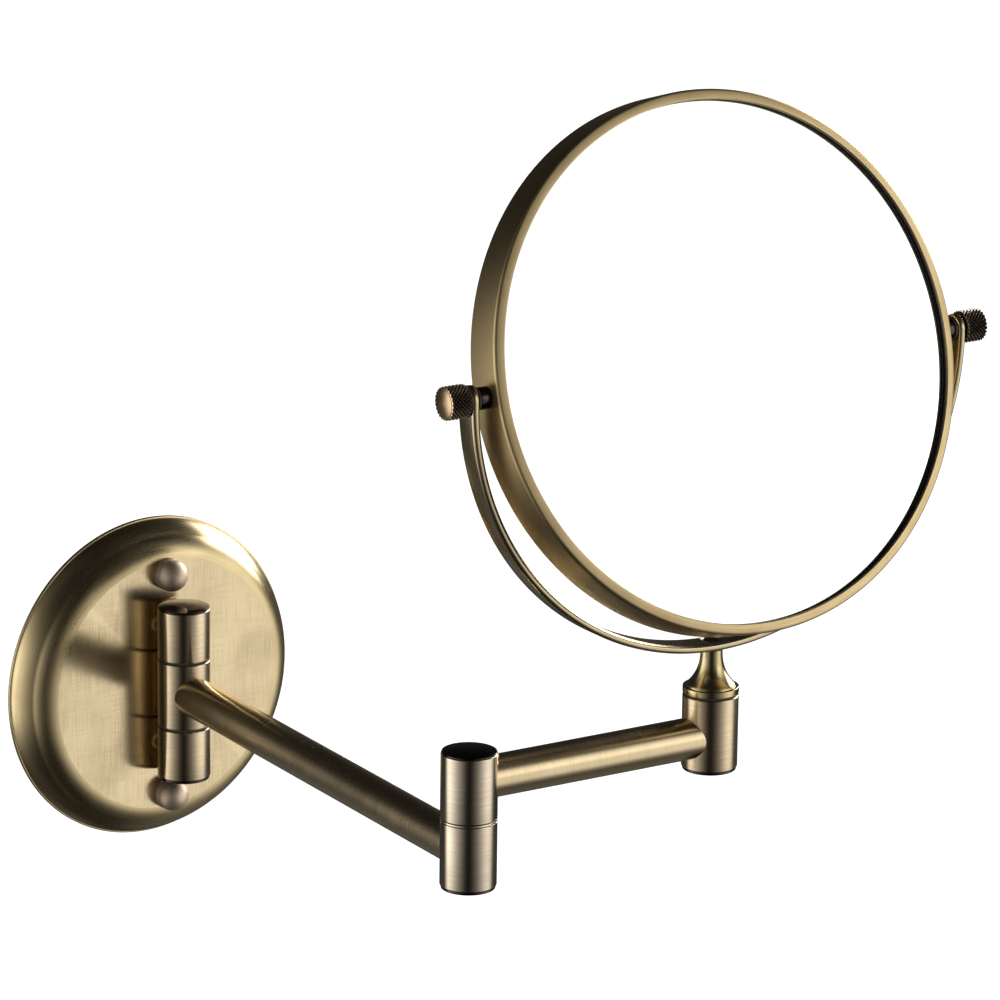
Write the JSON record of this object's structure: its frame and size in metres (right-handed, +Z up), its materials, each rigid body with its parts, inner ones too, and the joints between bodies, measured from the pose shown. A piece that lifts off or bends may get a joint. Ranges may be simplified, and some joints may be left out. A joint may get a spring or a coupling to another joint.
{
  "type": "extendable shaving mirror",
  "caption": "Round two-sided shaving mirror in an antique brass frame, tilting in a yoke on a hinged swing arm that folds from a round wall plate.",
  "frame": {"origin": "centre of the mounting strap's back face, which lies on the wall", "axes": "+Z up, +Y into the wall along the plate's axis, so the arm and mirror reach out towards -Y"},
  "size_m": [0.2729, 0.2947, 0.3369],
  "materials": {
    "brushed_brass": "antique brass, fine brushed, lacquered",
    "polished_brass": "antique brass, polished, lacquered",
    "dark_bronze": "dark patinated, glossy lacquer",
    "knurled_bronze": "dark patinated knurling with a brass end",
    "steel": "zinc plated",
    "mirror_silver": "silvered glass",
    "nylon": "moulded",
    "seal_foam": "closed-cell foam",
    "backing_board": "pressed board"
  },
  "bodies": {
    "wall": {"wall_plate": "brushed_brass", "mounting_strap": "steel", "plate_stud_upper": "steel", "plate_stud_lower": "steel", "ball_nut_upper": "polished_brass", "ball_nut_lower": "polished_brass", "wall_barrel_upper": "brushed_brass", "wall_barrel_lower": "brushed_brass", "stub_screw_upper": "steel", "stub_screw_lower": "steel", "wall_hinge_pin": "steel", "wall_hinge_cap": "dark_bronze", "wall_hinge_plug": "polished_brass", "wall_washer_upper": "nylon", "wall_washer_lower": "nylon"},
    "inner_arm": {"inner_arm_hinge_barrel": "brushed_brass", "inner_arm_tube": "brushed_brass", "elbow_lower_barrel": "brushed_brass", "elbow_plug": "polished_brass", "elbow_ring": "polished_brass", "elbow_spring_washer": "steel", "elbow_nut": "steel", "elbow_pin": "steel"},
    "outer_arm": {"elbow_upper_barrel": "brushed_brass", "elbow_cap": "dark_bronze", "outer_arm_tube": "brushed_brass", "end_barrel": "brushed_brass", "end_plug": "polished_brass"},
    "yoke": {"swivel_neck": "polished_brass", "swivel_washer": "nylon", "swivel_spring_washer": "steel", "swivel_nut": "steel", "yoke": "brushed_brass", "yoke_screw": "steel"},
    "mirror": {"mirror_frame": "brushed_brass", "rear_retaining_ring": "polished_brass", "front_mirror": "mirror_silver", "rear_magnifying_mirror": "mirror_silver", "front_seal": "seal_foam", "rear_seal": "seal_foam", "backing_disc": "backing_board", "pivot_boss_left": "polished_brass", "pivot_boss_right": "polished_brass", "pivot_washer_left": "nylon", "pivot_washer_right": "nylon"},
    "left_screw": {"thumb_screw_left": "steel"},
    "left_knob": {"thumb_knob_left": "knurled_bronze"},
    "right_screw": {"thumb_screw_right": "steel"},
    "right_knob": {"thumb_knob_right": "knurled_bronze"}
  },
  "joints": [
    {"name": "wall_swivel", "type": "hinge", "parent": "wall", "child": "inner_arm", "pos_m": [0, -0.027, 0], "axis": [0, 0, 1], "range_deg": [-84.6, 95.4]},
    {"name": "elbow_swivel", "type": "hinge", "parent": "inner_arm", "child": "outer_arm", "pos_m": [-0.02089, -0.24802, 0.0272], "axis": [0, 0, 1], "continuous": true},
    {"name": "yoke_swivel", "type": "hinge", "parent": "outer_arm", "child": "yoke", "pos_m": [0.08638, -0.25495, 0.0272], "axis": [0, 0, 1], "continuous": true},
    {"name": "mirror_tilt", "type": "hinge", "parent": "yoke", "child": "mirror", "pos_m": [0.08638, -0.25495, 0.1718], "axis": [0.9973, -0.0732, 0], "continuous": true},
    {"name": "left_screw_travel", "type": "slide", "parent": "mirror", "child": "left_screw", "axis": [-0.9973, 0.0732, 0], "range_m": [0, 0.0007]},
    {"name": "left_knob_turn", "type": "hinge", "parent": "left_screw", "child": "left_knob", "pos_m": [-0.02372, -0.24687, 0.1718], "axis": [-0.9973, 0.0732, 0], "range_deg": [0, 361]},
    {"name": "right_screw_travel", "type": "slide", "parent": "mirror", "child": "right_screw", "axis": [0.9973, -0.0732, 0], "range_m": [0, 0.0007]},
    {"name": "right_knob_turn", "type": "hinge", "parent": "right_screw", "child": "right_knob", "pos_m": [0.19649, -0.26304, 0.1718], "axis": [0.9973, -0.0732, 0], "range_deg": [0, 361]}
  ],
  "couplings": [
    {"joint": "left_knob_turn", "follows": "left_screw_travel", "rad_per_m": 8976},
    {"joint": "right_knob_turn", "follows": "right_screw_travel", "rad_per_m": 8976}
  ]
}
